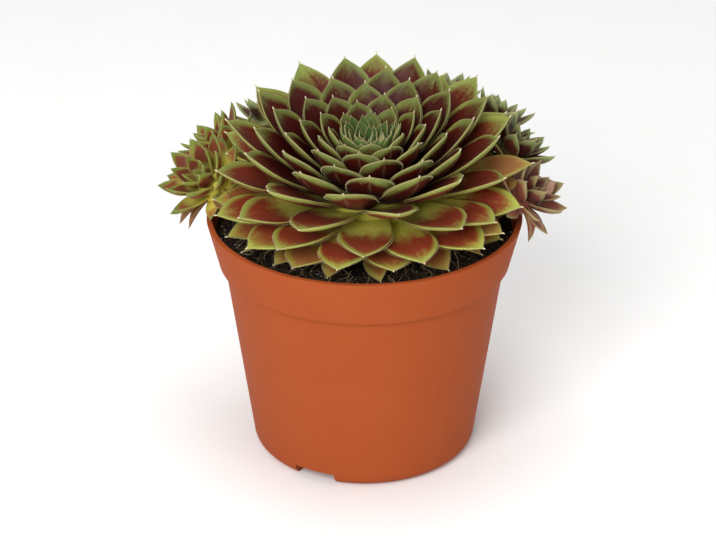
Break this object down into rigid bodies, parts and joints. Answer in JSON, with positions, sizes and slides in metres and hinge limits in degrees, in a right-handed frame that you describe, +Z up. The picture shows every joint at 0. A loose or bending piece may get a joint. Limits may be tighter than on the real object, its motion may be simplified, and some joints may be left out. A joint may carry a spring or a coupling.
{
  "type": "potted succulent",
  "caption": "Hens and chicks houseleek: a broad rosette of pointed leaves with small rosettes on runners round the rim of a tapered plastic nursery pot",
  "frame": {"origin": "on the pot's axis at the level of the foot ring, which is the middle of the bounding box's bottom within a millimetre", "axes": "+Z up, -Y towards the viewer, +X to the viewer's right"},
  "size_m": [0.1363, 0.1125, 0.1269],
  "materials": {
    "terracotta_plastic": "injection-moulded terracotta-coloured plastic, faintly satin",
    "peat": "dark crumbly peat with pale fibres; fabric stands in for loose matter",
    "mother_leaf": "fleshy leaf, red-brown in the middle and green to the edge and tip, waxy; rubber stands in for living leaf",
    "chick_leaf": "fleshy young leaf, green with brick-red patches, waxy; rubber stands in for living leaf"
  },
  "bodies": {
    "root": {"pot": "terracotta_plastic", "soil": "peat", "mother_rosette": "mother_leaf", "chick_left": "chick_leaf", "chick_left_upper": "chick_leaf", "chick_back_left": "chick_leaf", "chick_back_right": "chick_leaf", "chick_right_back": "chick_leaf", "chick_right": "chick_leaf", "chick_right_low": "chick_leaf"}
  },
  "joints": []
}
